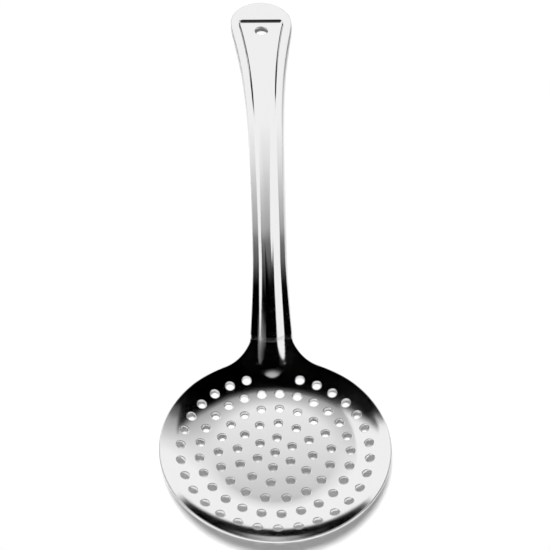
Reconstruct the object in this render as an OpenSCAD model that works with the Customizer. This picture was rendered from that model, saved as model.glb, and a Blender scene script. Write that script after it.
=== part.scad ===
// Kitchen skimmer: a shallow perforated bowl with a flared neck, and an arched trough handle
// that is butt-welded to the neck. It stands as it rests on a table: on the back of the bowl
// and on the tip of the handle, with the handle along +Y.

/* [Bowl] */
// Diameter over the rim
bowl_d = 110; // [100:1:125]
// Width of the wall seen from above, from the flat middle to the rim
wall_w = 27; // [26:0.5:34]
// Radius of the curve between the flat middle and the wall, seen from the side
wall_curve_r = 59; // [50:1:66]
// Steepest slope of the wall, in degrees
wall_slope = 23.5; // [20:0.5:26]
// Thickness of the steel sheet
sheet = 1.2; // [0.8:0.1:2]

/* [Perforations] */
// Bore of each hole
hole_d = 4; // [3:0.1:5]
// Distance from the outer ring of holes to the rim
rim_margin = 10.25; // [9.5:0.25:13]

/* [Neck] */
// Width of the neck at the weld
neck_w = 21; // [18:0.5:24]
// Distance from the rim to the weld
neck_length = 9.3; // [8:0.1:12]
// Radius of the shoulders between the rim and the neck
shoulder_r = 24.5; // [18:0.5:30]
// Width of the weld along the neck
weld_w = 1.8; // [1.2:0.1:2.4]
// How much narrower than the neck the dressed weld is, on each side
weld_nick = 0.3; // [0.1:0.05:0.5]

/* [Handle] */
// Length of the handle from the weld to the tip, seen from above
handle_length = 222; // [200:0.5:240]
// Radius of the handle's arch, seen from the side
arch_r = 550; // [500:5:620]
// Width at the waist
waist_w = 16.7; // [14:0.1:19]
// Distance from the weld to the waist
waist_distance = 41; // [30:1:70]
// Width at the rounded tip
tip_w = 35.5; // [28:0.1:38]
// Length of the rounded tip
tip_round = 21.6; // [16:0.1:26]

/* [Trough] */
// Width of the flat border beside the trough, at the waist
border_w = 2.5; // [2:0.1:3.5]
// Width of the border at the neck
neck_border_w = 3.5; // [2.5:0.1:4]
// Width of the border beside the panel at the tip
tip_border_w = 4.7; // [3.5:0.1:6]
// Length of the border between the panel and the tip
tip_border_length = 16.8; // [14:0.1:20]
// Depth of the panel at the tip
tip_depth = 1.3; // [0.8:0.1:1.8]
// Depth of the trough at the waist
waist_depth = 2; // [1.2:0.1:2.6]
// Depth of the trough at the weld
neck_depth = 2.2; // [1.5:0.1:2.6]
// Depth of the trough at its rounded end in the wall of the bowl
end_depth = 0.7; // [0.5:0.1:1]
// How far inside the rim the trough's rounded end lies
trough_reach = 11; // [9:0.5:12]

/* [Hanging hole] */
// Bore of the hanging hole
hang_d = 7.2; // [5:0.1:9]
// Distance from the tip to the middle of the hanging hole
hang_from_tip = 25; // [23:0.5:34]

/* [Hidden] */

rim_r = bowl_d / 2;
floor_r = rim_r - wall_w;
weld_y = rim_r + neck_length;
waist_y = weld_y + waist_distance;
tip_y = weld_y + handle_length;
trough_start = rim_r - trough_reach;
drill_past = 1; // how far a drill runs past both faces of the sheet

// Rings of holes from the middle outwards: number of places, angle of the first one,
// and how far the punching drifts from an even spacing, with the side it drifts towards.
HOLE_RINGS = [
    [1, 0, 0, 0],
    [6, 22, 1.2, 4],
    [12, 22.4, 1, 32],
    [18, 0.9, 3.5, 37],
    [25, -1.4, 1.4, -20],
    [31, 2.5, 1.5, -6]
];
outer_ring = len(HOLE_RINGS) - 1;
ring_step = (rim_r - rim_margin) / outer_ring;
// The two places of the outer ring that the trough takes up have no hole.
trough_gap = 9; // degrees each side of the handle's line

function smooth(t) = let(u = min(1, max(0, t))) u * u * (3 - 2 * u);
function mix(a, b, t) = a + (b - a) * t;

// Side profile of the upper face: flat, a curve up the wall, a straight slope to the rim,
// then the arch of the handle.
curve_end = floor_r + wall_curve_r * sin(wall_slope);
curve_rise = wall_curve_r * (1 - cos(wall_slope));
rim_rise = curve_rise + (rim_r - curve_end) * tan(wall_slope);
function arch_sin(q) = sin(wall_slope) - (q - rim_r) / arch_r;
function profile(q) =
    q <= floor_r ? 0
    : q <= curve_end ? wall_curve_r - sqrt(wall_curve_r ^ 2 - (q - floor_r) ^ 2)
    : q <= rim_r ? curve_rise + (q - curve_end) * tan(wall_slope)
    : rim_rise + arch_r * (sqrt(1 - arch_sin(q) ^ 2) - cos(wall_slope));

// The profile is spun round the middle in the bowl and carried straight across in the handle,
// and turns from one into the other over the neck.
spun_inside = 16.5; // the turn starts this far inside the rim
straight_past = 8; // and ends this far past the weld
spun_until = rim_r - spun_inside;
straight_from = weld_y + straight_past;
function spin(y) = 1 - smooth((y - spun_until) / (straight_from - spun_until));
function body_z(x, y) = profile(norm([x * sqrt(spin(y)), y]));

// Half width of the blank from the weld to the tip: a waist that widens to the neck by a
// power of the distance and to the tip by another, and an elliptical end.
neck_flare_power = 1.4;
tip_flare_power = 3.8;
round_power = 16; // how sharply the flare turns into the rounded end
least_end = 0.01; // share of the width that is left at the very tip
tip_start = tip_y - tip_round;
function neck_share(y) = y >= waist_y ? 0
    : ((waist_y - y) / (waist_y - weld_y)) ^ neck_flare_power;
function tip_share(y) = y <= waist_y ? 0 : (y - waist_y) / (tip_start - waist_y);
function flare(y) = waist_w / 2
    + (neck_w - waist_w) / 2 * neck_share(y)
    + (tip_w - waist_w) / 2 * tip_share(y) ^ tip_flare_power;
function tip_end(y) = let(t = max(0, y - tip_start) / tip_round)
    tip_w / 2 * max(least_end, sqrt(max(0, 1 - t ^ 2)));
function half_w(y) = (flare(y) ^ -round_power + tip_end(y) ^ -round_power) ^ (-1 / round_power);

// Half width of the trough: what the borders leave.
border_power = 3;
function border(y) = border_w
    + (neck_border_w - border_w) * neck_share(y)
    + (tip_border_w - border_w) * min(1, tip_share(y)) ^ border_power;
function trough_half(y) = flare(min(y, tip_start)) - border(min(y, tip_start));

// Depth of the trough, and the share of its floor that is flat: a rounded channel at the neck
// and the waist, and a flat panel at the tip.
tip_flat = 0.82;
panel_step = 1.6; // length of the panel's end wall
panel_end = tip_y - tip_border_length;
start_half = trough_half(trough_start + trough_half(weld_y));
start_centre = trough_start + start_half;
function flat_share(y) = tip_flat * smooth((y - waist_y) / (panel_end - waist_y));
function depth(y) = y < weld_y
    ? mix(end_depth, neck_depth, smooth((y - trough_start) / (weld_y - trough_start)))
    : y < waist_y
    ? mix(neck_depth, waist_depth, (y - weld_y) / (waist_y - weld_y))
    : mix(waist_depth, tip_depth, (y - waist_y) / (panel_end - waist_y));
// Distance across the trough, 0 in its middle and 1 at its edge, round the rounded end too.
function across(x, y) = y < start_centre
    ? norm([x, y - start_centre]) / start_half
    : abs(x) / trough_half(y);
// How far up the trough's walls a place is: 0 on the flat floor and 1 at the top edge.
function wall_share(x, y) = let(f = flat_share(y))
    norm([
        max(0, (across(x, y) - f) / (1 - f)),
        max(0, (y - panel_end + panel_step) / panel_step)
    ]);
// Share of the depth: a round channel whose walls grow steeper up to a rounded lip.
lip_round = 0.3;
function basin(s) = let(u = 1 - min(1, s) ^ 2) (1 + lip_round) * u ^ 2 / (u + lip_round);
function trough(x, y) = depth(y) * basin(wall_share(x, y));

// Upper face, and the lower face one sheet below it, measured square to the sheet.
function top_z(x, y) = body_z(x, y) - trough(x, y);
nudge = 0.05;
function steepness(x, y) = norm([
    1,
    (top_z(x + nudge, y) - top_z(x - nudge, y)) / (2 * nudge),
    (top_z(x, y + nudge) - top_z(x, y - nudge)) / (2 * nudge)
]);
function under_z(x, y) = top_z(x, y) - sheet * steepness(x, y);

// Outline of the bowl as a distance from its middle, by the angle from the handle's line:
// the straight end at the weld, the hollow arc of the shoulder, then the rim.
bowl_end = weld_y - weld_w / 2;
neck_corner = norm([neck_w / 2, bowl_end]);
shoulder_d = rim_r + shoulder_r;
corner_angle = atan2(neck_w / 2, bowl_end);
shoulder_angle = corner_angle + acos(
    (shoulder_d ^ 2 + neck_corner ^ 2 - shoulder_r ^ 2) / (2 * shoulder_d * neck_corner));
function outline(a) = let(
        b = abs(a),
        s = shoulder_d * cos(b - shoulder_angle)
    )
    b <= corner_angle ? bowl_end / cos(b)
    : b < shoulder_angle ? s - sqrt(max(0, s ^ 2 - shoulder_d ^ 2 + shoulder_r ^ 2))
    : rim_r;

// A shell is a grid of places, row by row: all its upper points, then all its lower ones.
function both_faces(places) = [
    for (p = places) [p[0], p[1], top_z(p[0], p[1])],
    for (p = places) [p[0], p[1], under_z(p[0], p[1])]
    ];
// Its upper and lower faces. In a ring, each row of the grid closes on itself.
function lids(cols, rows, ring) = let(n = cols * rows, steps = ring ? cols : cols - 1) [
    for (i = [0:rows - 2], j = [0:steps - 1]) let(
            a = i * cols + j,
            b = i * cols + (j + 1) % cols,
            c = a + cols,
            d = b + cols
        )
        each [[a, b, d], [a, d, c], [n + a, n + d, n + b], [n + a, n + c, n + d]]
    ];
// The edge of a ring's last row.
function rim_faces(cols, rows) = let(n = cols * rows, s = n - cols) [
    for (j = [0:cols - 1]) let(k = (j + 1) % cols)
        each [[s + j, s + k, n + s + k], [s + j, n + s + k, n + s + j]]
    ];
// The edge of a strip, all the way round.
function edge_faces(cols, rows) = let(
        n = cols * rows,
        edge = [
            for (j = [0:cols - 1]) j,
            for (i = [1:rows - 1]) i * cols + cols - 1,
            for (j = [cols - 2:-1:0]) (rows - 1) * cols + j,
            for (i = [rows - 2:-1:1]) i * cols
        ],
        m = len(edge)
    ) [
    for (i = [0:m - 1]) let(a = edge[i], b = edge[(i + 1) % m])
        each [[a, n + a, n + b], [a, n + b, b]]
    ];

// Angles of the bowl's grid lines: close together over the neck, wider round the rim.
neck_lines = 14;
shoulder_lines = 8;
rim_lines = 32;
HALF_ANGLES = [
    for (i = [1:neck_lines]) corner_angle * i / neck_lines,
    for (i = [1:shoulder_lines]) mix(corner_angle, shoulder_angle, i / shoulder_lines),
    for (i = [1:rim_lines - 1]) mix(shoulder_angle, 180, i / rim_lines)
];
ANGLES = [
    0,
    each HALF_ANGLES,
    180,
    for (i = [len(HALF_ANGLES) - 1:-1:0]) -HALF_ANGLES[i]
];
// Rows of the bowl's grid: circles up the lower wall, then in step with the outline.
circle_rows = 6;
outline_rows = 9;
circle_share = 0.58; // share of the wall that the circles cover
last_circle = floor_r + circle_share * wall_w;
BOWL_ROWS = [
    for (i = [0:circle_rows]) [mix(floor_r, last_circle, i / circle_rows), 0],
    for (i = [1:outline_rows]) [last_circle, i / outline_rows]
];
BOWL_GRID = [
    for (row = BOWL_ROWS, a = ANGLES) let(r = mix(row[0], outline(a), row[1]))
        [r * sin(a), r * cos(a)]
];

// Columns of the handle's grid, 0 in the middle, 1 at the trough's edge and 2 at the outline.
HALF_COLUMNS = [0.25, 0.45, 0.6, 0.72, 0.8, 0.87, 0.94, 1, 1.2, 2];
COLUMNS = [
    for (i = [len(HALF_COLUMNS) - 1:-1:0]) -HALF_COLUMNS[i],
    0,
    each HALF_COLUMNS
];
widest_trough = 0.8; // round the tip the trough's columns draw in to this share of the width
function column_x(c, y, w) = let(g = min(trough_half(y), widest_trough * w), b = abs(c))
    sign(c) * (b <= 1 ? b * g : mix(g, w, b - 1));

// Rows of the handle's grid: even steps to the panel's end wall, the wall, then closer and
// closer round the tip.
handle_start = weld_y + weld_w / 2;
plain_rows = 44;
wall_rows = 5;
tip_rows = 12;
HANDLE_ROWS = [
    for (i = [0:plain_rows]) mix(handle_start, panel_end - panel_step, i / plain_rows),
    for (i = [1:wall_rows]) panel_end - panel_step + panel_step * i / wall_rows,
    for (i = [1:tip_rows]) mix(panel_end, tip_y, sin(90 * i / tip_rows))
];
HANDLE_GRID = [
    for (y = HANDLE_ROWS, c = COLUMNS) [column_x(c, y, half_w(y)), y]
];

weld_rows = 3;
WELD_GRID = [
    for (i = [0:weld_rows - 1], c = COLUMNS) let(y = bowl_end + weld_w * i / (weld_rows - 1))
        [column_x(c, y, neck_w / 2 - weld_nick), y]
];

// The skimmer leans back until the line from the underside of the handle's tip touches the
// underside of the bowl, along the handle's line.
tip_under = under_z(0, tip_y);
KEEL = [for (row = BOWL_ROWS) let(y = mix(row[0], bowl_end, row[1])) [y, under_z(0, y)]];
lean = atan(max([for (p = KEEL) (tip_under - p[1]) / (tip_y - p[0])]));
rest_z = tip_under * cos(lean) - tip_y * sin(lean);
function leaned_y(y, z) = y * cos(lean) + z * sin(lean);
front_y = leaned_y(-rim_r, rim_rise - sheet / cos(wall_slope));
back_y = leaned_y(tip_y, profile(tip_y));

module at_rest() {
    translate([0, -(front_y + back_y) / 2, -rest_z])
        rotate([-lean, 0, 0])
            children();
}

// A hole through the sheet under a place on its upper face, which slopes up towards +Y.
module drill(d, slope, sides) {
    rotate([slope, 0, 0])
        translate([0, 0, -sheet - drill_past])
            cylinder(d = d, h = sheet + 2 * drill_past, $fn = sides);
}

// One punched hole, at a distance and an angle from the bowl's middle.
module hole(r, angle) {
    slope = r <= floor_r ? 0 : min(wall_slope, asin(min(1, (r - floor_r) / wall_curve_r)));
    rotate([0, 0, angle - 90])
        translate([0, r, profile(r)])
            drill(hole_d, slope, 32);
}

module holes() {
    for (i = [0:outer_ring]) let(ring = HOLE_RINGS[i], step = 360 / ring[0])
        for (k = [0:ring[0] - 1]) let(
                even = ring[1] + step * k,
                angle = even + ring[2] * cos(even - ring[3])
            )
            if (i < outer_ring || abs(even - 90) > trough_gap)
                hole(i * ring_step, angle);
}

module bowl() {
    cols = len(ANGLES);
    rows = len(BOWL_ROWS);
    n = cols * rows;
    color("silver")
        at_rest()
            difference() {
                polyhedron(
                    both_faces(BOWL_GRID),
                    concat(
                        lids(cols, rows, true),
                        rim_faces(cols, rows),
                        [[for (j = [cols - 1:-1:0]) j], [for (j = [0:cols - 1]) n + j]]
                    )
                );
                holes();
            }
}

module neck_weld() {
    cols = len(COLUMNS);
    color("gainsboro")
        at_rest()
            polyhedron(
                both_faces(WELD_GRID),
                concat(lids(cols, weld_rows, false), edge_faces(cols, weld_rows))
            );
}

module handle() {
    cols = len(COLUMNS);
    rows = len(HANDLE_ROWS);
    hang_y = tip_y - hang_from_tip;
    color("lightgray")
        at_rest()
            difference() {
                polyhedron(
                    both_faces(HANDLE_GRID),
                    concat(lids(cols, rows, false), edge_faces(cols, rows))
                );
                translate([0, hang_y, top_z(0, hang_y)])
                    drill(hang_d, asin(arch_sin(hang_y)), 64);
            }
}

bowl();
neck_weld();
handle();
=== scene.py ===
# Kitchen skimmer in polished stainless steel: perforated bowl, dressed neck weld, trough handle.
import math

import bpy
import numpy as np
from mathutils import Matrix
from mathutils.geometry import delaunay_2d_cdt


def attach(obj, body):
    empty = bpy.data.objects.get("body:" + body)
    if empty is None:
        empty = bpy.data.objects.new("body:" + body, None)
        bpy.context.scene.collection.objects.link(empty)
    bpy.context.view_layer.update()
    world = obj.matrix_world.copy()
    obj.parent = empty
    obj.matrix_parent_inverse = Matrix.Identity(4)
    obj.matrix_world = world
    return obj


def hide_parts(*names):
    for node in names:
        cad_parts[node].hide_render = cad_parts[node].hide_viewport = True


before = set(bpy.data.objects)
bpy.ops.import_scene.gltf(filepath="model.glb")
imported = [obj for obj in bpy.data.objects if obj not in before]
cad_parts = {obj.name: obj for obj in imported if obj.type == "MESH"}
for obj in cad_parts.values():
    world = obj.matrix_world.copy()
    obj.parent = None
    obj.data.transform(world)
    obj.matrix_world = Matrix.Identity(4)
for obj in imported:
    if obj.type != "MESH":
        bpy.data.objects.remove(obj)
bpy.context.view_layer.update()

mm = 0.001  # the pressings are worked out in millimetres and put into the scene in metres

# Shape of the whole sheet, in millimetres, from the middle of the bowl, with the handle along +Y
sheetShape = {
    "rimR": 55.0, "floorR": 28.0, "wallCurveR": 59.0, "wallSlope": math.radians(23.5),
    "thickness": 1.2, "weldY": 64.3, "archR": 550.0, "spunUntil": 38.5, "straightFrom": 72.3,
}
blank = {
    "neckW": 21.0, "waistW": 16.7, "waistY": 105.3, "tipW": 35.5, "tipRound": 21.6, "tipY": 286.3,
    "neckPower": 1.4, "tipPower": 3.8, "roundPower": 16.0, "shoulderR": 24.5,
}
channel = {
    "border": 2.5, "neckBorder": 3.5, "tipBorder": 4.7, "tipBorderLength": 16.8, "borderPower": 3.0,
    "tipDepth": 1.3, "waistDepth": 2.0, "neckDepth": 2.2, "endDepth": 0.7, "start": 44.0,
    "tipFlat": 0.82, "panelStep": 1.6, "lipRound": 0.3,
}


def smooth(t):
    # Smooth step: 3u^2 - 2u^3 on the clipped value
    u = np.clip(t, 0, 1)
    return u * u * (3 - 2 * u)


def mix(a, b, t):
    return a + (b - a) * t


def profile(q):
    # Height by the distance from the middle: flat, an arc up the wall, a straight slope to the
    # rim, then the long arc of the handle
    s = sheetShape
    slope, curveR = s["wallSlope"], s["wallCurveR"]
    curveEnd = s["floorR"] + curveR * math.sin(slope)
    curveRise = curveR * (1 - math.cos(slope))
    rimRise = curveRise + (s["rimR"] - curveEnd) * math.tan(slope)
    inCurve = np.clip(q - s["floorR"], 0, curveEnd - s["floorR"])
    arc = curveR - np.sqrt(curveR ** 2 - inCurve ** 2)
    straight = curveRise + (q - curveEnd) * math.tan(slope)
    archSin = np.clip(math.sin(slope) - (q - s["rimR"]) / s["archR"], -0.9, 0.9)
    arch = rimRise + s["archR"] * (np.sqrt(1 - archSin ** 2) - math.cos(slope))
    return np.where(q <= curveEnd, arc, np.where(q <= s["rimR"], straight, arch))


def bodyZ(x, y):
    # The profile is spun in the bowl and carried straight across in the handle
    s = sheetShape
    spin = 1 - smooth((y - s["spunUntil"]) / (s["straightFrom"] - s["spunUntil"]))
    return profile(np.hypot(x * np.sqrt(spin), y))


tipStart = blank["tipY"] - blank["tipRound"]
panelEnd = blank["tipY"] - channel["tipBorderLength"]


def neckShare(y):
    # 0 at the waist and 1 at the weld, by a power of the distance
    away = np.maximum(blank["waistY"] - y, 0) / (blank["waistY"] - sheetShape["weldY"])
    return away ** blank["neckPower"]


def tipShare(y):
    # 0 at the waist and 1 where the rounded tip starts
    return np.maximum(y - blank["waistY"], 0) / (tipStart - blank["waistY"])


def flare(y):
    b = blank
    toNeck = (b["neckW"] - b["waistW"]) / 2 * neckShare(y)
    toTip = (b["tipW"] - b["waistW"]) / 2 * tipShare(y) ** b["tipPower"]
    return b["waistW"] / 2 + toNeck + toTip


def halfWidth(y):
    # The flare cut by an ellipse at the tip, through a high-power mean that rounds the meeting
    b = blank
    t = np.maximum(0, y - tipStart) / b["tipRound"]
    tipEnd = b["tipW"] / 2 * np.maximum(0.01, np.sqrt(np.maximum(0, 1 - t ** 2)))
    p = b["roundPower"]
    return (flare(y) ** -p + tipEnd ** -p) ** (-1 / p)


def troughHalf(y):
    # Half width of the trough: what the two borders leave
    c = channel
    y = np.minimum(y, tipStart)
    borderW = (c["border"] + (c["neckBorder"] - c["border"]) * neckShare(y)
               + (c["tipBorder"] - c["border"]) * np.minimum(1, tipShare(y)) ** c["borderPower"])
    return flare(y) - borderW


startHalf = float(troughHalf(channel["start"] + troughHalf(sheetShape["weldY"])))
startCentre = channel["start"] + startHalf


def flatShare(y):
    return channel["tipFlat"] * smooth((y - blank["waistY"]) / (panelEnd - blank["waistY"]))


def trough(x, y):
    # Depth of the trough: a round channel whose walls steepen up to a rounded lip, with a closed
    # end in the bowl and an end wall behind the panel at the tip
    c, weldY, waistY = channel, sheetShape["weldY"], blank["waistY"]
    inNeck = mix(c["endDepth"], c["neckDepth"], smooth((y - c["start"]) / (weldY - c["start"])))
    toWaist = mix(c["neckDepth"], c["waistDepth"], (y - weldY) / (waistY - weldY))
    toTip = mix(c["waistDepth"], c["tipDepth"], (y - waistY) / (panelEnd - waistY))
    deep = np.where(y < weldY, inNeck, np.where(y < waistY, toWaist, toTip))
    across = np.where(y < startCentre, np.hypot(x, y - startCentre) / startHalf,
                      np.abs(x) / troughHalf(y))
    flat = flatShare(y)
    sideWall = np.maximum(0, (across - flat) / (1 - flat))
    endWall = np.maximum(0, (y - panelEnd + c["panelStep"]) / c["panelStep"])
    left = 1 - np.minimum(1, np.hypot(sideWall, endWall)) ** 2
    return deep * (1 + c["lipRound"]) * left ** 2 / (left + c["lipRound"])


def topZ(x, y):
    return bodyZ(x, y) - trough(x, y)


def slopes(x, y, step=0.03):
    # Slopes of the upper face along x and y, by central differences
    alongX = (topZ(x + step, y) - topZ(x - step, y)) / (2 * step)
    alongY = (topZ(x, y + step) - topZ(x, y - step)) / (2 * step)
    return alongX, alongY


def normals(xy):
    alongX, alongY = slopes(xy[:, 0], xy[:, 1])
    n = np.stack([-alongX, -alongY, np.ones(len(xy))], 1)
    return n / np.linalg.norm(n, axis=1, keepdims=True)


def sheetPoints(xy, below):
    # Places in the sheet: straight into it from the upper face, by a distance below that face
    top = np.column_stack([xy, topZ(xy[:, 0], xy[:, 1])])
    return top - normals(xy) * np.reshape(below, (-1, 1))


def restPlace():
    # The skimmer leans back onto the underside of its bowl and of the handle's tip. Gives the
    # lean and the shift that brings it to rest in the frame.
    s = sheetShape
    tip, end = blank["tipY"], s["weldY"]
    y = np.linspace(s["floorR"], end, 400)
    alongY = slopes(0 * y, y)[1]
    under = topZ(0 * y, y) - s["thickness"] * np.sqrt(1 + alongY ** 2)
    tipSlope = slopes(np.zeros(1), np.array([tip]))[1][0]
    tipUnder = float(topZ(0.0, tip)) - s["thickness"] * math.sqrt(1 + tipSlope ** 2)
    lean = math.atan(float(np.max((tipUnder - under) / (tip - y))))
    rise = float(profile(s["rimR"]))
    frontZ = rise - s["thickness"] / math.cos(s["wallSlope"])
    frontY = -s["rimR"] * math.cos(lean) + frontZ * math.sin(lean)
    backY = tip * math.cos(lean) + float(profile(tip)) * math.sin(lean)
    restZ = tipUnder * math.cos(lean) - tip * math.sin(lean)
    return lean, np.array([0, -(frontY + backY) / 2, -restZ])


lean, shift = restPlace()
turn = np.array([[1, 0, 0],
                 [0, math.cos(lean), math.sin(lean)],
                 [0, -math.sin(lean), math.cos(lean)]])
print("lean", round(math.degrees(lean), 4), "shift", shift.round(4))


def atRest(points):
    return (np.asarray(points) @ turn.T + shift) * mm


# Edges of the pressings: how far the corner of the sheet is rounded, above and below
edges = {"rim": (0.5, 0.45), "punched": (0.6, 0.15), "cut": (0.4, 0.35), "butt": (0.06, 0.06)}
roundSteps = 4


def edgeProfile(over, under):
    # Rounded edge of a sheet as rows of (outward, below, angle): a quarter circle at the upper
    # face, then one at the lower face. The angle turns from the upper normal to the lower one.
    t = sheetShape["thickness"]
    a = np.linspace(0, np.pi / 2, roundSteps + 1)[None, :]
    over, under = over[:, None], under[:, None]
    reach = np.maximum(over, under)
    out = np.concatenate([over * np.sin(a) - over, under * np.cos(a) - under], 1) + reach
    below = np.concatenate([over * (1 - np.cos(a)), t - under + under * np.sin(a)], 1)
    angle = np.concatenate([a, a + np.pi / 2], 1) + 0 * out
    return out, below, angle


def makePressing(name, xy, faces, loops, lift=None):
    # A closed sheet from a flat mesh in plan: its upper face, its lower face and, along each
    # loop, the rounded edge between them. A loop holds its points' numbers in order, with the
    # open side on its right, the way out of the sheet at each point, and the two roundings.
    n = len(xy)
    t = sheetShape["thickness"]
    lifted = np.zeros(n) if lift is None else lift
    faceNormals = normals(xy)
    points = [sheetPoints(xy, -lifted), sheetPoints(xy, np.full(n, t))]
    pointNormals = [faceNormals, -faceNormals]
    allFaces = list(faces) + [[i + n for i in reversed(f)] for f in faces]
    count = 2 * n
    for ids, outward, over, under in loops:
        m = len(ids)
        out, below, angle = edgeProfile(over, under)
        rings = [ids]
        for k in range(1, out.shape[1] - 1):
            place = xy[ids] + outward * (out[:, k] - out[:, 0])[:, None]
            up = normals(xy[ids])
            alongX, alongY = slopes(xy[ids, 0], xy[ids, 1])
            rise = alongX * outward[:, 0] + alongY * outward[:, 1]
            level = np.column_stack([outward, rise])
            level /= np.linalg.norm(level, axis=1, keepdims=True)
            points.append(sheetPoints(place, below[:, k] - lifted[ids] * (below[:, k] < t / 2)))
            turned = angle[:, k][:, None]
            pointNormals.append(up * np.cos(turned) + level * np.sin(turned))
            rings.append(np.arange(count, count + m))
            count += m
        rings.append(ids + n)
        for a, b in zip(rings[:-1], rings[1:]):
            a2, b2 = np.roll(a, -1), np.roll(b, -1)
            allFaces += np.stack([a, b, b2, a2], 1).tolist()
    mesh = bpy.data.meshes.new(name)
    mesh.from_pydata(atRest(np.concatenate(points)).tolist(), [], allFaces)
    mesh.validate()
    mesh.update()
    mesh.shade_smooth()
    mesh.normals_split_custom_set_from_vertices((np.concatenate(pointNormals) @ turn.T).tolist())
    piece = bpy.data.objects.new(name, mesh)
    bpy.context.scene.collection.objects.link(piece)
    print(name, len(mesh.vertices), "points", len(mesh.polygons), "faces")
    return piece


def waysOut(loop):
    # The way out of the sheet in plan, square to a closed line that keeps the open side on its right
    along = np.roll(loop, -1, axis=0) - np.roll(loop, 1, axis=0)
    out = np.column_stack([along[:, 1], -along[:, 0]])
    return out / np.linalg.norm(out, axis=1, keepdims=True)


# The bowl: rings of punched holes as count, first angle, drift and the side it drifts towards
bowlShape = {
    "holeD": 4.0, "ringStep": 8.95, "troughGap": 9.0, "weldHalf": 0.9, "spacing": 1.15,
    "holeSides": 28, "rimInset": 0.45, "neckInset": 0.15,
    "rings": [(1, 0, 0, 0), (6, 22, 1.2, 4), (12, 22.4, 1, 32), (18, 0.9, 3.5, 37),
              (25, -1.4, 1.4, -20), (31, 2.5, 1.5, -6)],
}
bowlEnd = sheetShape["weldY"] - bowlShape["weldHalf"]
handleStart = sheetShape["weldY"] + bowlShape["weldHalf"]


def holePlaces():
    # Middles of the holes in plan, ring by ring, leaving out those that the trough takes up
    places = []
    last = len(bowlShape["rings"]) - 1
    for i, (count, first, drift, side) in enumerate(bowlShape["rings"]):
        even = np.radians(first + 360 / count * np.arange(count))
        angle = even + np.radians(drift) * np.cos(even - math.radians(side))
        if i == last:
            angle = angle[np.abs(np.degrees(even) - 90) > bowlShape["troughGap"]]
        r = i * bowlShape["ringStep"]
        places.append(np.column_stack([r * np.cos(angle), r * np.sin(angle)]))
    return np.concatenate(places)


def bowlOutline():
    # Closed line in plan, anticlockwise: the rim, the hollow arc of each shoulder and the
    # straight end at the weld. Also gives each point's rounding.
    rimR, shoulderR, halfNeck = sheetShape["rimR"], blank["shoulderR"], blank["neckW"] / 2
    corner = math.hypot(halfNeck, bowlEnd)
    cornerAngle = math.atan2(halfNeck, bowlEnd)
    d = rimR + shoulderR
    shoulderAngle = cornerAngle + math.acos(
        (d ** 2 + corner ** 2 - shoulderR ** 2) / (2 * d * corner))
    a = np.linspace(np.pi, shoulderAngle, 150)
    rim = np.full(len(a), rimR)
    b = np.linspace(shoulderAngle, cornerAngle, 34)[1:]
    s = d * np.cos(b - shoulderAngle)
    shoulder = s - np.sqrt(np.maximum(0, s * s - d * d + shoulderR ** 2))
    right = np.column_stack([np.append(a, b), np.append(rim, shoulder)])
    right = np.column_stack([right[:, 1] * np.sin(right[:, 0]), right[:, 1] * np.cos(right[:, 0])])
    endX = np.linspace(halfNeck, -halfNeck, 26)[1:-1]
    end = np.column_stack([endX, np.full(len(endX), bowlEnd)])
    left = right[1:][::-1] * [-1, 1]
    loop = np.concatenate([right, end, left])
    atEnd = np.abs(loop[:, 1] - bowlEnd) < 1e-6
    return loop, atEnd


def insideLoop(points, loop):
    # Crossing count along +X, for all points at once
    x, y = points[:, 0][:, None], points[:, 1][:, None]
    x1, y1 = loop[:, 0][None], loop[:, 1][None]
    x2, y2 = np.roll(x1, -1, 1), np.roll(y1, -1, 1)
    spans = (y1 > y) != (y2 > y)
    cut = x1 + (y - y1) / np.where(y2 == y1, 1, y2 - y1) * (x2 - x1)
    return (spans & (x < cut)).sum(1) % 2 == 1


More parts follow.
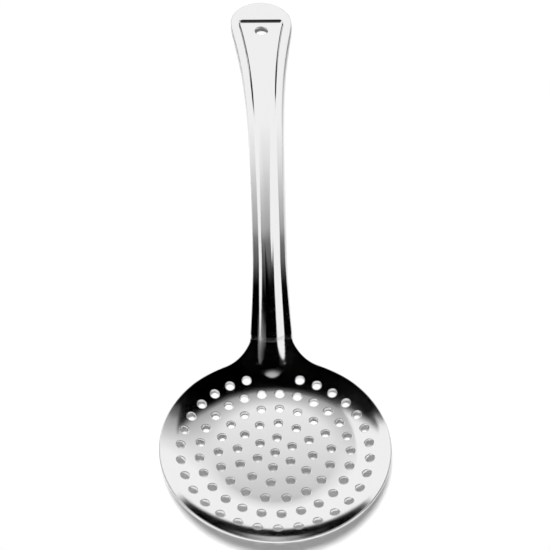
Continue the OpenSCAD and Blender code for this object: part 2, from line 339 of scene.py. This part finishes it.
def makeBowl():
    b, s = bowlShape, sheetShape
    loop, atEnd = bowlOutline()
    ways = waysOut(loop)
    nearNeck = smooth((loop[:, 1] - s["spunUntil"]) / (bowlEnd - s["spunUntil"]))
    inset = np.where(atEnd, 0.0, mix(b["rimInset"], b["neckInset"], nearNeck))
    ways[atEnd] = [0, 1]
    over = np.where(atEnd, edges["butt"][0], edges["rim"][0])
    under = np.where(atEnd, edges["butt"][1], edges["rim"][1])
    reach = np.maximum(over, under)
    rimLine = loop - ways * (inset + reach)[:, None]
    # Each hole is round square to the sheet, so on the wall it is narrower in plan
    middles = holePlaces()
    r = np.hypot(middles[:, 0], middles[:, 1])
    outwards = np.where(r[:, None] > 1, middles / np.maximum(r, 1)[:, None], [[1.0, 0.0]])
    tilt = np.minimum(s["wallSlope"], np.arcsin(
        np.clip((r - s["floorR"]) / s["wallCurveR"], 0, 1)))
    a = np.linspace(0, -2 * np.pi, b["holeSides"], endpoint=False)
    side = np.stack([-outwards[:, 1], outwards[:, 0]], 1)
    ring = (np.cos(tilt)[:, None, None] * np.cos(a)[None, :, None] * outwards[:, None, :]
            + np.sin(a)[None, :, None] * side[:, None, :])
    holeR = b["holeD"] / 2
    punchR = holeR + edges["punched"][0]
    circles = middles[:, None, :] + punchR * ring
    halos = middles[:, None, :] + (punchR + 0.45) * ring[:, ::2]
    # Loose points on a triangular lattice, clear of the holes and the edge
    g = b["spacing"]
    rows = np.arange(-s["rimR"], bowlEnd, g * math.sqrt(3) / 2)
    columns = np.arange(-s["rimR"], s["rimR"], g)
    x, y = np.meshgrid(columns, rows)
    x = x + g / 2 * (np.arange(len(rows)) % 2)[:, None]
    loose = np.column_stack([x.ravel(), y.ravel()])
    innerLine = rimLine - ways * 0.6
    loose = loose[insideLoop(loose, innerLine)]
    away = np.hypot(loose[:, None, 0] - middles[None, :, 0], loose[:, None, 1] - middles[None, :, 1])
    loose = loose[away.min(1) > punchR + 0.9]
    parts = [rimLine, circles.reshape(-1, 2), innerLine[~atEnd][::2], halos.reshape(-1, 2), loose]
    flat = np.concatenate(parts)
    nRim, nSides, nHoles = len(rimLine), b["holeSides"], len(middles)
    rimIds = np.arange(nRim)
    circleIds = nRim + np.arange(nHoles * nSides).reshape(nHoles, nSides)
    lines = np.concatenate([np.stack([rimIds, np.roll(rimIds, -1)], 1),
                            np.stack([circleIds, np.roll(circleIds, -1, 1)], 2).reshape(-1, 2)])
    found = delaunay_2d_cdt(flat.tolist(), lines.tolist(), [], 0, 1e-6, True)
    xy = np.array([list(v) for v in found[0]])
    newId = np.full(len(flat), -1)
    for i, olds in enumerate(found[3]):
        newId[olds] = i
    tris = np.array([f for f in found[2]])
    centre = xy[tris].mean(1)
    keep = insideLoop(centre, rimLine)
    rel = centre[:, None, :] - middles[None]
    radial = (rel * outwards[None]).sum(2) / np.cos(tilt)[None]
    sideways = (rel * side[None]).sum(2)
    keep &= np.hypot(radial, sideways).min(1) > punchR * 0.995
    tris = tris[keep]
    p = xy[tris]
    area = np.cross(p[:, 1] - p[:, 0], p[:, 2] - p[:, 0])
    tris = np.where((area < 0)[:, None], tris[:, ::-1], tris)
    used = np.unique(tris)
    slot = np.full(len(xy), -1)
    slot[used] = np.arange(len(used))
    xy, tris = xy[used], slot[tris]
    newId = np.where(newId >= 0, slot[newId], -1)
    loops = [(newId[rimIds], ways, over, under)]
    for k in range(nHoles):
        into = middles[k] - circles[k]
        into = into / np.linalg.norm(into, axis=1, keepdims=True)
        loops.append((newId[circleIds[k]], into, np.full(nSides, edges["punched"][0]),
                      np.full(nSides, edges["punched"][1])))
    return makePressing("bowlShell", xy, tris.tolist(), loops)


# The handle: rows along it and columns across it, closer together on the walls of the trough
handleShape = {
    "rows": 300, "tipRows": 26, "wallRows": 10, "hangD": 7.2, "hangFromTip": 25.0,
    "hangRings": 5, "hangClear": 2.2, "widestTrough": 0.8, "sideInset": 0.02,
}


def stripGrid(rowY, columns, halfAt):
    # Grid in plan: a column is 0 in the middle, 1 at the trough's edge and 2 at the outline
    half = halfAt(rowY)
    inner = np.minimum(troughHalf(rowY), handleShape["widestTrough"] * half)
    c = np.abs(columns)[None, :]
    x = np.where(c <= 1, c * inner[:, None], mix(inner[:, None], half[:, None], c - 1))
    x = x * np.sign(columns)[None, :]
    return np.stack([x, np.repeat(rowY[:, None], len(columns), 1)], 2)


def stripLoop(rows, cols):
    # Numbers round a grid, anticlockwise from its first corner
    ids = np.arange(rows * cols).reshape(rows, cols)
    return np.concatenate([ids[0, :-1], ids[:-1, -1], ids[-1, :0:-1], ids[:0:-1, 0]])


halfColumns = np.concatenate([np.linspace(0, 1, 19)[1:], 1 + np.linspace(0, 1, 6)[1:]])
stripColumns = np.concatenate([-halfColumns[::-1], [0], halfColumns])


def makeHandle():
    h = handleShape
    wallStart = panelEnd - channel["panelStep"]
    rowY = np.concatenate([
        np.linspace(handleStart, wallStart, h["rows"], endpoint=False),
        np.linspace(wallStart, panelEnd, h["wallRows"], endpoint=False),
        mix(panelEnd, blank["tipY"], np.sin(np.linspace(0, np.pi / 2, h["tipRows"])))])
    over, under = edges["cut"]
    pull = h["sideInset"] + max(over, under)
    shrink = 1 - pull / blank["tipRound"]
    rowY = np.where(rowY > tipStart, tipStart + (rowY - tipStart) * shrink, rowY)

    def halfAt(y):
        stretched = np.where(y > tipStart, tipStart + (y - tipStart) / shrink, y)
        return np.maximum(halfWidth(stretched) - pull, 0.02)

    grid = stripGrid(rowY, stripColumns, halfAt)
    rows, cols = grid.shape[:2]
    xy = grid.reshape(-1, 2)
    ids = np.arange(rows * cols).reshape(rows, cols)
    a, b2, c, d = ids[:-1, :-1], ids[:-1, 1:], ids[1:, 1:], ids[1:, :-1]
    # The block of the grid round the hanging hole gives way to rings that close in on it
    hangY = blank["tipY"] - h["hangFromTip"]
    hangR = h["hangD"] / 2 + edges["cut"][0]
    clear = hangR + h["hangClear"]
    i0, i1 = np.searchsorted(rowY, [hangY - clear, hangY + clear])
    j0 = int(np.argmin(np.abs(grid[(i0 + i1) // 2, :, 0] + clear)))
    j1 = cols - 1 - j0
    block = np.zeros((rows - 1, cols - 1), bool)
    block[i0:i1, j0:j1] = True
    quads = np.stack([a, b2, c, d], 2)[~block]
    ring = np.concatenate([ids[i0, j0:j1], ids[i0:i1, j1], ids[i1, j1:j0:-1], ids[i1:i0:-1, j0]])
    ring = ring[::-1]
    middle = np.array([0.0, hangY])
    slopeY = slopes(np.zeros(1), np.array([hangY]))[1][0]
    narrow = 1 / math.sqrt(1 + slopeY ** 2)
    rel = xy[ring] - middle
    angle = np.arctan2(rel[:, 1], rel[:, 0])
    circle = middle + hangR * np.column_stack([np.cos(angle), np.sin(angle) * narrow])
    faces = quads.tolist()
    last, count = ring, len(xy)
    for k in range(1, h["hangRings"] + 1):
        share = k / h["hangRings"]
        xy = np.concatenate([xy, mix(xy[ring], circle, share)])
        new = np.arange(count, count + len(ring))
        count += len(ring)
        faces += np.stack([last, new, np.roll(new, -1), np.roll(last, -1)], 1).tolist()
        last = new
    used = np.unique(np.concatenate([np.ravel(f) for f in (quads, last)] + [
        np.arange(len(grid.reshape(-1, 2)), count)]))
    slot = np.full(len(xy), -1)
    slot[used] = np.arange(len(used))
    faces = [[int(slot[i]) for i in f] for f in faces]
    outer = stripLoop(rows, cols)
    ways = waysOut(xy[outer])
    atEnd = outer < cols
    ways[atEnd] = [0, -1]
    loops = [(slot[outer], ways, np.where(atEnd, edges["butt"][0], over),
              np.where(atEnd, edges["butt"][1], under))]
    into = middle - circle
    into = into / np.linalg.norm(into, axis=1, keepdims=True)
    loops.append((slot[last], into, np.full(len(last), over), np.full(len(last), under)))
    return makePressing("handleShell", xy[used], faces, loops)


# The weld: a thin bead dressed almost flush, a little narrower than the neck
weldShape = {"halfWidth": 10.2, "rows": 9, "crown": 0.03}


def makeWeld():
    w = weldShape
    over, under = edges["cut"]
    rowY = np.linspace(bowlEnd, handleStart, w["rows"])
    grid = stripGrid(rowY, stripColumns, lambda y: np.full(len(y), w["halfWidth"] - over))
    rows, cols = grid.shape[:2]
    xy = grid.reshape(-1, 2)
    ids = np.arange(rows * cols).reshape(rows, cols)
    quads = np.stack([ids[:-1, :-1], ids[:-1, 1:], ids[1:, 1:], ids[1:, :-1]], 2).reshape(-1, 4)
    outer = stripLoop(rows, cols)
    atEnd = (outer < cols) | (outer >= (rows - 1) * cols)
    ways = np.where(atEnd[:, None], [[0.0, 1.0]], np.sign(xy[outer, 0])[:, None] * [[1.0, 0.0]])
    ways[outer < cols] = [0, -1]
    share = (xy[:, 1] - sheetShape["weldY"]) / bowlShape["weldHalf"]
    lift = w["crown"] * (1 - share ** 2)
    loops = [(outer, ways, np.where(atEnd, 0.001, over), np.where(atEnd, 0.001, under))]
    return makePressing("weldBead", xy, quads.tolist(), loops, lift)


def newMaterial(name):
    material = bpy.data.materials.new(name)
    material.use_nodes = True
    nodes = material.node_tree.nodes
    nodes.clear()
    return material, nodes, material.node_tree.links


def noise(nodes, links, place, scale, detail, stretch=(1, 1, 1)):
    # Noise on the piece's own coordinates, stretched along the way it was polished
    mapping = nodes.new("ShaderNodeMapping")
    mapping.inputs["Scale"].default_value = stretch
    texture = nodes.new("ShaderNodeTexNoise")
    texture.inputs["Scale"].default_value = scale
    texture.inputs["Detail"].default_value = detail
    links.new(place.outputs["Object"], mapping.inputs["Vector"])
    links.new(mapping.outputs["Vector"], texture.inputs["Vector"])
    return texture


def toRange(nodes, links, value, low, high, fromLow=0.3, fromHigh=0.7):
    remap = nodes.new("ShaderNodeMapRange")
    remap.inputs["From Min"].default_value = fromLow
    remap.inputs["From Max"].default_value = fromHigh
    remap.inputs["To Min"].default_value = low
    remap.inputs["To Max"].default_value = high
    links.new(value, remap.inputs["Value"])
    return remap.outputs["Result"]


steelFinish = {"colour": (0.86, 0.86, 0.865, 1), "smoothest": 0.05, "roughest": 0.12,
               "ripple": 0.00002, "scratch": 0.000002}
weldFinish = {"colour": (0.74, 0.74, 0.75, 1), "smoothest": 0.08, "roughest": 0.2,
              "ripple": 0.00003, "scratch": 0.000005}


def steelMaterial(name, finish, brushed):
    # Bare metal: cloudy polish in the roughness, a faint ripple of the pressed sheet, and fine
    # marks from use and polishing
    material, nodes, links = newMaterial(name)
    place = nodes.new("ShaderNodeTexCoord")
    shader = nodes.new("ShaderNodeBsdfPrincipled")
    shader.inputs["Base Color"].default_value = finish["colour"]
    shader.inputs["Metallic"].default_value = 1
    clouds = noise(nodes, links, place, 60, 4)
    rough = toRange(nodes, links, clouds.outputs["Fac"], finish["smoothest"], finish["roughest"])
    links.new(rough, shader.inputs["Roughness"])
    ripple = noise(nodes, links, place, 90, 1)
    marks = noise(nodes, links, place, 900, 3, brushed)
    wide = nodes.new("ShaderNodeBump")
    wide.inputs["Distance"].default_value = finish["ripple"]
    links.new(ripple.outputs["Fac"], wide.inputs["Height"])
    fine = nodes.new("ShaderNodeBump")
    fine.inputs["Distance"].default_value = finish["scratch"]
    links.new(marks.outputs["Fac"], fine.inputs["Height"])
    links.new(wide.outputs["Normal"], fine.inputs["Normal"])
    links.new(fine.outputs["Normal"], shader.inputs["Normal"])
    output = nodes.new("ShaderNodeOutputMaterial")
    links.new(shader.outputs["BSDF"], output.inputs["Surface"])
    return material


polishedSteel = steelMaterial("polishedSteel", steelFinish, (1, 0.12, 1))
dressedWeld = steelMaterial("dressedWeld", weldFinish, (0.15, 1, 1))

for piece, node, material, slot in (
        (makeBowl(), "bowl", polishedSteel, "polished_steel"),
        (makeWeld(), "neck_weld", dressedWeld, "dressed_weld"),
        (makeHandle(), "handle", polishedSteel, "polished_steel")):
    piece.data.materials.append(material)
    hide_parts(node)
    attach(piece, "root")
print("pieces done")

# The camera stands where the photograph was taken from. Angles are against the bowl's middle
# and its flat floor, and pixels are the photograph's.
photoView = {
    "distance": 750.0, "elevation": math.radians(52.167), "azimuth": math.radians(3.282),
    "roll": math.radians(-1.708), "focalPixels": 1574.5, "bowlPixel": (275.2, 452.67),
    "imageWidth": 550, "sensorWidth": 36.0,
}


def makeCamera():
    v = photoView
    e, az, roll = v["elevation"], v["azimuth"], v["roll"]
    away = np.array([-math.sin(az) * math.cos(e), -math.cos(az) * math.cos(e), math.sin(e)])
    level = np.array([math.cos(az), -math.sin(az), 0])
    upright = np.array([math.sin(az) * math.sin(e), math.cos(az) * math.sin(e), math.cos(e)])
    right = level * math.cos(roll) - upright * math.sin(roll)
    up = level * math.sin(roll) + upright * math.cos(roll)
    axes = np.stack([right, up, -away])
    # Turn from looking at the bowl to looking at the middle of the picture
    half = v["imageWidth"] / 2
    g = np.array([(v["bowlPixel"][0] - half) / v["focalPixels"],
                  (half - v["bowlPixel"][1]) / v["focalPixels"], 1])
    g /= np.linalg.norm(g)
    axis = np.cross([0, 0, 1], g)
    skew = np.array([[0, -axis[2], axis[1]], [axis[2], 0, -axis[0]], [-axis[1], axis[0], 0]])
    aim = np.eye(3) + skew + skew @ skew / (1 + g[2])
    axes = (aim @ axes) @ turn.T
    place = atRest(v["distance"] * away)
    data = bpy.data.cameras.new("camera")
    data.sensor_width = v["sensorWidth"]
    data.lens = v["focalPixels"] / v["imageWidth"] * v["sensorWidth"]
    data.clip_start = 0.01
    camera = bpy.data.objects.new("camera", data)
    bpy.context.scene.collection.objects.link(camera)
    camera.matrix_world = Matrix([[*np.append([axes[0][i], axes[1][i], -axes[2][i]], place[i])]
                                  for i in range(3)] + [[0, 0, 0, 1]])
    bpy.context.scene.camera = camera


makeCamera()

# The studio: a white room, a pale floor, and dark flags that only the steel's reflections see
studio = {
    "roomLevel": 0.12, "floorSize": 6.0, "floorColour": (0.93, 0.93, 0.93, 1), "floorLift": 0.05,
    "sun": {"strength": 2.9, "width": math.radians(12), "fromFront": math.radians(10),
            "fromLeft": math.radians(4)},
    # The overhead flag: its corners, and how much light it lets through along the handle
    "highFlag": {"height": 0.384, "bend": 0.62,
                 "corners": [(-0.16, -0.5), (-0.16, 0.1), (-0.08, 0.17), (-0.08, 0.75),
                             (0.45, 0.75), (0.45, -0.5)],
                 "light": [(-0.2, 0.6), (-0.04, 0.2), (0.02, 0.0), (0.06, 0.0), (0.1, 0.07),
                           (0.136, 0.14), (0.162, 0.2), (0.182, 0.42), (0.235, 0.56),
                           (0.323, 0.84), (0.42, 1.0)]},
    # A smaller flag closer over the bowl, whose edge is sharp in the bowl's back wall
    "bowlFlag": {"height": 0.2, "bend": 4.6,
                 "corners": [(-0.11, -0.06), (-0.11, 0.12), (0.11, 0.12), (0.11, -0.06)],
                 "light": [(0.03, 0.0), (0.052, 1.0)]},
    # low flags on the floor, far behind and beside the handle
    "lowFlag": {"from": 0.1, "to": 2.5, "light": [(0.1, 1.0), (0.3, 0.0)]},
    "backFlag": {"top": 0.5, "light": [(0.34, 0.0), (0.5, 1.0)]},
    "leftFlag": {"x": -0.6, "from": -0.3, "to": 0.5, "top": 0.37},
    "rightFlag": {"x": 0.6, "from": -0.3, "to": 0.5, "top": 0.32},
}


def makeWorld():
    # White to the camera and in reflections, and an even light on everything
    world = bpy.data.worlds.new("room")
    bpy.context.scene.world = world
    world.use_nodes = True
    nodes, links = world.node_tree.nodes, world.node_tree.links
    nodes.clear()
    paths = nodes.new("ShaderNodeLightPath")
    seen = nodes.new("ShaderNodeMath")
    seen.operation = "MAXIMUM"
    links.new(paths.outputs["Is Camera Ray"], seen.inputs[0])
    links.new(paths.outputs["Is Glossy Ray"], seen.inputs[1])
    seenToo = nodes.new("ShaderNodeMath")
    seenToo.operation = "MAXIMUM"
    links.new(seen.outputs[0], seenToo.inputs[0])
    links.new(paths.outputs["Is Transmission Ray"], seenToo.inputs[1])
    lighting = nodes.new("ShaderNodeBackground")
    lighting.inputs["Strength"].default_value = studio["roomLevel"]
    backdrop = nodes.new("ShaderNodeBackground")
    backdrop.inputs["Color"].default_value = (1, 1, 1, 1)
    backdrop.inputs["Strength"].default_value = 1
    lighting.inputs["Color"].default_value = (1, 1, 1, 1)
    pick = nodes.new("ShaderNodeMixShader")
    links.new(seenToo.outputs[0], pick.inputs["Fac"])
    links.new(lighting.outputs[0], pick.inputs[1])
    links.new(backdrop.outputs[0], pick.inputs[2])
    output = nodes.new("ShaderNodeOutputWorld")
    links.new(pick.outputs[0], output.inputs["Surface"])


def stageCard(name, corners, material):
    mesh = bpy.data.meshes.new(name)
    mesh.from_pydata(corners, [], [list(range(len(corners)))])
    card = bpy.data.objects.new(name, mesh)
    bpy.context.scene.collection.objects.link(card)
    mesh.materials.append(material)
    return card


def floorMaterial():
    material, nodes, links = newMaterial("paleFloor")
    base = nodes.new("ShaderNodeBsdfDiffuse")
    base.inputs["Color"].default_value = studio["floorColour"]
    paths = nodes.new("ShaderNodeLightPath")
    lift = nodes.new("ShaderNodeMath")
    lift.operation = "MULTIPLY"
    lift.inputs[1].default_value = studio["floorLift"]
    links.new(paths.outputs["Is Camera Ray"], lift.inputs[0])
    glow = nodes.new("ShaderNodeEmission")
    links.new(lift.outputs[0], glow.inputs["Strength"])
    both = nodes.new("ShaderNodeAddShader")
    links.new(base.outputs[0], both.inputs[0])
    links.new(glow.outputs[0], both.inputs[1])
    output = nodes.new("ShaderNodeOutputMaterial")
    links.new(both.outputs[0], output.inputs["Surface"])
    return material


def flagMaterial(name, stops, axis, bend=0.0):
    # Black cloth that thins out along one axis, so that its edge is soft in the steel. The
    # stops are places along the axis in metres, with how much light each lets through.
    material, nodes, links = newMaterial(name)
    place = nodes.new("ShaderNodeTexCoord")
    split = nodes.new("ShaderNodeSeparateXYZ")
    links.new(place.outputs["Object"], split.inputs[0])
    square = nodes.new("ShaderNodeMath")
    square.operation = "MULTIPLY"
    links.new(split.outputs[0], square.inputs[0])
    links.new(split.outputs[0], square.inputs[1])
    bent = nodes.new("ShaderNodeMath")
    bent.operation = "MULTIPLY_ADD"
    bent.inputs[1].default_value = -bend
    links.new(square.outputs[0], bent.inputs[0])
    links.new(split.outputs[axis], bent.inputs[2])
    low, high = stops[0][0], stops[-1][0]
    along = toRange(nodes, links, bent.outputs[0], 0, 1, low, high)
    ramp = nodes.new("ShaderNodeValToRGB")
    points = ramp.color_ramp.elements
    points.remove(points[1])
    for i, (where, light) in enumerate(stops):
        share = (where - low) / (high - low)
        point = points[0] if i == 0 else points.new(share)
        point.position = share
        point.color = (light, light, light, 1)
    links.new(along, ramp.inputs["Fac"])
    cloth = nodes.new("ShaderNodeEmission")
    cloth.inputs["Strength"].default_value = 0
    clear = nodes.new("ShaderNodeBsdfTransparent")
    pick = nodes.new("ShaderNodeMixShader")
    links.new(ramp.outputs["Color"], pick.inputs["Fac"])
    links.new(cloth.outputs[0], pick.inputs[1])
    links.new(clear.outputs[0], pick.inputs[2])
    output = nodes.new("ShaderNodeOutputMaterial")
    links.new(pick.outputs[0], output.inputs["Surface"])
    return material


def onlyReflected(card):
    card.visible_camera = False
    card.visible_diffuse = False
    card.visible_shadow = False
    card.visible_transmission = False
    card.visible_volume_scatter = False


def levelFlag(name, f):
    corners = [(x, y, f["height"]) for x, y in f["corners"]]
    onlyReflected(stageCard(name, corners, flagMaterial(name + "Cloth", f["light"], 1, f["bend"])))


def sideFlag(name, f):
    solid = [(0.9 * f["top"], 0.0), (f["top"], 1.0)]
    onlyReflected(stageCard(name, [
        (f["x"], f["from"], 0), (f["x"], f["to"], 0), (f["x"], f["to"], f["top"]),
        (f["x"], f["from"], f["top"])], flagMaterial(name + "Cloth", solid, 2)))


def makeStudio():
    s = studio
    makeWorld()
    half = s["floorSize"] / 2
    under = -0.0001
    stageCard("floor", [(-half, -half, under), (half, -half, under), (half, half, under),
                        (-half, half, under)], floorMaterial())
    levelFlag("highFlag", s["highFlag"])
    levelFlag("bowlFlag", s["bowlFlag"])
    low, f = 0.0004, s["lowFlag"]
    onlyReflected(stageCard("lowFlag", [
        (-half, f["from"], low), (half, f["from"], low), (half, f["to"], low),
        (-half, f["to"], low)], flagMaterial("lowCloth", f["light"], 1)))
    f, far = s["backFlag"], s["lowFlag"]["to"]
    onlyReflected(stageCard("backFlag", [
        (-half, far, 0), (half, far, 0), (half, far, f["top"]), (-half, far, f["top"])],
        flagMaterial("backCloth", f["light"], 2)))
    sideFlag("leftFlag", s["leftFlag"])
    sideFlag("rightFlag", s["rightFlag"])
    # One soft light from the front left, which the steel doesn't mirror
    f = s["sun"]
    data = bpy.data.lights.new("softSun", "SUN")
    data.energy = f["strength"]
    data.angle = f["width"]
    sun = bpy.data.objects.new("softSun", data)
    sun.rotation_euler = (f["fromFront"], -f["fromLeft"], 0)
    sun.visible_glossy = False
    bpy.context.scene.collection.objects.link(sun)


makeStudio()
bpy.context.scene.view_settings.view_transform = "Standard"
print("studio done")
